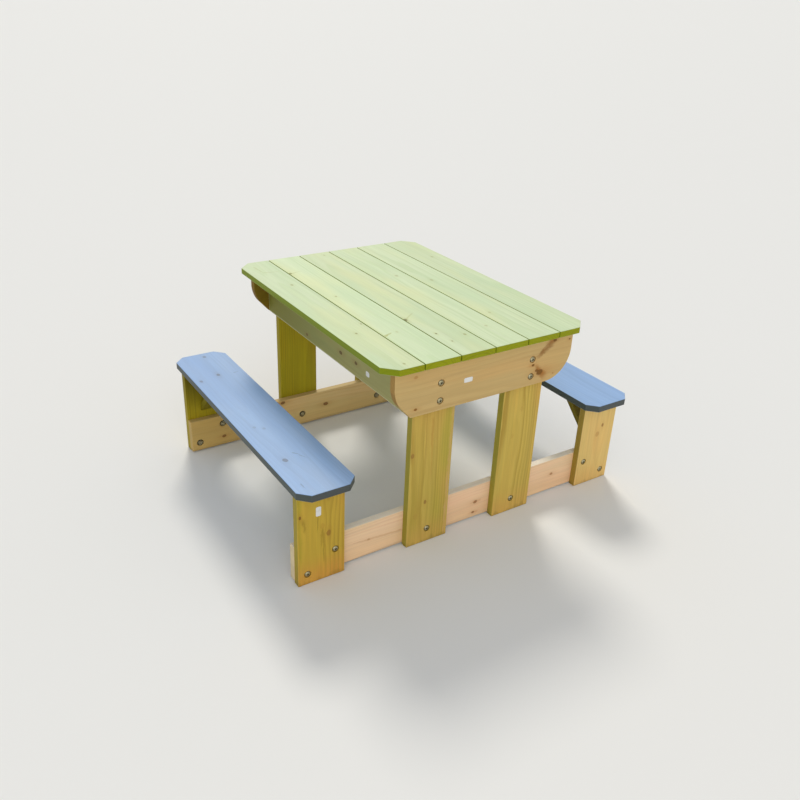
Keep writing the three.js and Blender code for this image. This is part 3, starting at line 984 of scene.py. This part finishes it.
def zincMaterial():
    material, shader, point = newMaterial("zinc_plate")
    tones = {key: tint(*value) for key, value in zincLook.items()}
    dirtAndShade = point.node("Attribute", {"attribute_name": "dirtAndShade"}, {}, "Fac")
    cloud = grainNoise(point, (260.0, 260.0, 260.0), 3.0)
    fine = grainNoise(point, (1800.0, 1800.0, 1800.0))
    scratch = grainNoise(point, (900.0, 4200.0, 300.0))
    colour = mixColour(smooth(cloud, 0.35, 0.7), tones["bright"], tones["dull"])
    colour = mixColour(smooth(fine, 0.55, 0.8) * 0.4, colour, tones["fleck"])
    # Dirt and painted shade darken the zinc
    colour = mixColour(dirtAndShade * 0.85, colour, tones["dirtAndShade"])
    feed(shader, "Base Color", colour)
    feed(shader, "Metallic", 1 - dirtAndShade * 0.6)
    feed(shader, "Roughness", 0.28 + cloud * 0.22 + dirtAndShade * 0.35)
    feed(shader, "Normal", bumpOf(fine * 0.5 + scratch * 0.5, 0.2, 0.00015))
    return material


# Dirt and painted shade lie in the socket and under the rims; on the washer, nut and thread end it is painted
# shade alone
def markDirtAndShade(mesh, end):
    shape = boltShape
    layer = mesh.attributes.new("dirtAndShade", "FLOAT", "POINT")
    socket = shape["socketWidth"] / math.sqrt(3) * 1.05
    floor = shape["headHeight"] - shape["socketDepth"]
    for vert in mesh.vertices:
        reach = math.hypot(vert.co.x, vert.co.y)
        inSocket = reach < socket and floor - 1e-5 <= vert.co.z < floor + shape["socketDepth"] * 0.35
        isHead = 0 <= vert.co.z and reach > shape["shank"] / 2
        atRim = max(0.0, 1 - vert.co.z / shape["rimDirtAndShade"]) if isHead else 0.0
        onNut = shape["nutShade"] if vert.co.z < end + shape["tail"] + shape["nutHeight"] * 1.3 else 0.0
        layer.data[vert.index].value = shape["socketDirtAndShade"] if inSocket else max(atRim, onNut)
    return mesh


def makeBolts():
    shape = boltShape
    names = sorted(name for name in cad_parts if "_bolt_" in name)
    low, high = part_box(names[0])
    end = shape["headHeight"] - (high.y - low.y)
    nutFace = end + shape["tail"] + shape["nutHeight"]
    washer = makeWasher(nutFace + shape["washerThickness"])
    parts = [makeHeadAndShank(end), makeThread(end), washer, makeNut(nutFace)]
    whole = markDirtAndShade(joinMeshes("bolt", parts), end)
    whole.shade_smooth()
    whole.set_sharp_from_angle(angle=math.radians(shape["smoothAngle"]))
    zinc = zincMaterial()
    for name in names:
        low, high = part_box(name)
        centre = (low + high) / 2
        outward = -yAxis if centre.y < 0 else yAxis
        headTop = low.y if centre.y < 0 else high.y
        bearing = Vector((centre.x, headTop - outward.y * shape["headHeight"], centre.z))
        spinBy = random.Random(name).uniform(0, math.pi)
        turn = outward.to_track_quat("Z", "Y").to_matrix().to_4x4() @ Matrix.Rotation(spinBy, 4, "Z")
        mesh = whole.copy()
        mesh.transform(Matrix.Translation(bearing) @ turn)
        newPiece(name + "_zinc", name, mesh, zinc)


# Blank paper labels stuck to the wood

labels = {
    "apron_label": dict(on="apron_front", face=-yAxis, along=-0.225, rise=0.0, width=0.024, height=0.012),
    "bench_leg_label": dict(
        on="bench_leg_front_left", face=-yAxis, along=-0.12, rise=0.54, width=0.013, height=0.025,
    ),
    "side_rail_label": dict(
        on="side_rail_left", face=-xAxis, along=0.54, rise=-0.5, width=0.016, height=0.013,
    ),
}

labelPaper = {
    "thickness": 0.00014, "gap": 0.00005, "corner": 0.0034, "cornerSteps": 4, "cuts": 8, "curl": 0.001,
    "curlFrom": 0.55, "white": (236, 236, 232), "aged": (214, 208, 192), "pulp": (206, 204, 198),
}


def paperMaterial():
    material, shader, point = newMaterial("label_paper")
    pulp = grainNoise(point, (900.0, 900.0, 900.0), 3.0)
    stain = grainNoise(point, (120.0, 120.0, 120.0))
    white, aged, grey = (tint(*labelPaper[key]) for key in ("white", "aged", "pulp"))
    colour = mixColour(smooth(stain, 0.45, 0.75) * 0.5, white, aged)
    colour = mixColour(smooth(pulp, 0.5, 0.8) * 0.3, colour, grey)
    feed(shader, "Base Color", colour)
    feed(shader, "Roughness", 0.5 + pulp * 0.2)
    feed(shader, "Normal", bumpOf(pulp, 0.25, 0.0001))
    return material


def makeLabels():
    sheet, paper = labelPaper, paperMaterial()
    for name, label in labels.items():
        low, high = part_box(label["on"])
        centre, half = (low + high) / 2, (high - low) / 2
        face, width, height = label["face"], label["width"], label["height"]
        sideways = zAxis.cross(face)
        place = centre + face * abs(half.dot(face)) + zAxis * (half.z * label["rise"])
        place += sideways * (abs(half.dot(sideways)) * label["along"])
        bm = bmesh.new()
        size = Matrix.Diagonal((width, height, 1, 1))
        bmesh.ops.create_grid(bm, x_segments=1, y_segments=1, size=0.5, matrix=size)
        bevel(bm, bm.verts[:], sheet["corner"], sheet["cornerSteps"], "VERTICES")
        for i in range(1, sheet["cuts"]):
            share = i / sheet["cuts"] - 0.5
            sawThrough(bm, xAxis * (width * share), xAxis)
            sawThrough(bm, yAxis * (height * share), yAxis)
        for vert in bm.verts:
            corner = (vert.co.x / width + 0.5) * (vert.co.y / height + 0.5)
            vert.co.z = sheet["curl"] * max(0.0, corner - sheet["curlFrom"])
        bmesh.ops.solidify(bm, geom=bm.faces[:], thickness=-sheet["thickness"])
        turn = Matrix((sideways, zAxis, face)).transposed().to_4x4()
        bmesh.ops.transform(bm, matrix=Matrix.Translation(place + face * sheet["gap"]) @ turn, verts=bm.verts)
        newPiece(name, None, meshFrom(bm, name), paper)


# Floor, backdrop and light

studio = {
    "floorSize": 500.0,
    "floorLevel": -0.0004,
    "floorColour": (238, 238, 236),
    "floorRoughness": 0.8,
    "floorSpecular": 0.1,
    "skyLight": 0.5,
    "skyColour": (250, 252, 255),
    "backdrop": (233, 233, 229),
}

# Wide soft lamps, far enough off to light the floor evenly
lamps = {
    "key": {"from": (0.276, 0.639, 0.717), "spread": 16, "strength": 1.55, "colour": (255, 250, 240)},
    "fill": {"from": (-0.45, -0.75, 0.5), "spread": 60, "strength": 0.7, "colour": (250, 252, 255)},
}


def makeStudio():
    bm = bmesh.new()
    bmesh.ops.create_grid(bm, x_segments=1, y_segments=1, size=studio["floorSize"] / 2)
    floor = linked("floor", meshFrom(bm, "floor", False))
    floor.location.z = studio["floorLevel"]
    material, shader, point = newMaterial("studio_floor")
    feed(shader, "Base Color", tint(*studio["floorColour"]))
    feed(shader, "Roughness", studio["floorRoughness"])
    feed(shader, "Specular IOR Level", studio["floorSpecular"])
    floor.data.materials.append(material)
    # From below, the floor lets the underside of the table show
    below = point.node("NewGeometry", {}, {}, "Backfacing")
    clear = point.node("BsdfTransparent")
    surface = point.node("MixShader", {}, {0: below, 1: Wire(shader.outputs[0]), 2: clear})
    material.node_tree.links.new(surface.socket, material.node_tree.nodes["Material Output"].inputs[0])

    world = bpy.data.worlds.new("studio")
    bpy.context.scene.world = world
    world.use_nodes = True
    backdrop = world.node_tree.nodes["Background"]
    rays = world.node_tree.nodes.new("ShaderNodeLightPath").outputs
    direct, glossy, through = (Wire(rays[f"Is {kind} Ray"]) for kind in ("Camera", "Glossy", "Transmission"))
    seen = lesser(direct + glossy + through, 1.0)
    feed(backdrop, "Color", mixColour(seen, tint(*studio["skyColour"]), tint(*studio["backdrop"])))
    feed(backdrop, "Strength", seen * (1 - studio["skyLight"]) + studio["skyLight"])

    for name, lamp in lamps.items():
        data = bpy.data.lights.new(name, "SUN")
        data.angle = math.radians(lamp["spread"])
        data.energy = lamp["strength"]
        data.color = tint(*lamp["colour"])[:3]
        light = linked(name, data)
        light.matrix_world = Vector(lamp["from"]).to_track_quat("Z", "Y").to_matrix().to_4x4()


bpy.context.scene.view_settings.view_transform = "Standard"
makeCamera()
makeStudio()
print("camera and studio ready")
makeBoards()
print("boards sawn and drilled")
makeBolts()
print("bolts in place")
makeLabels()
print("labels stuck on")
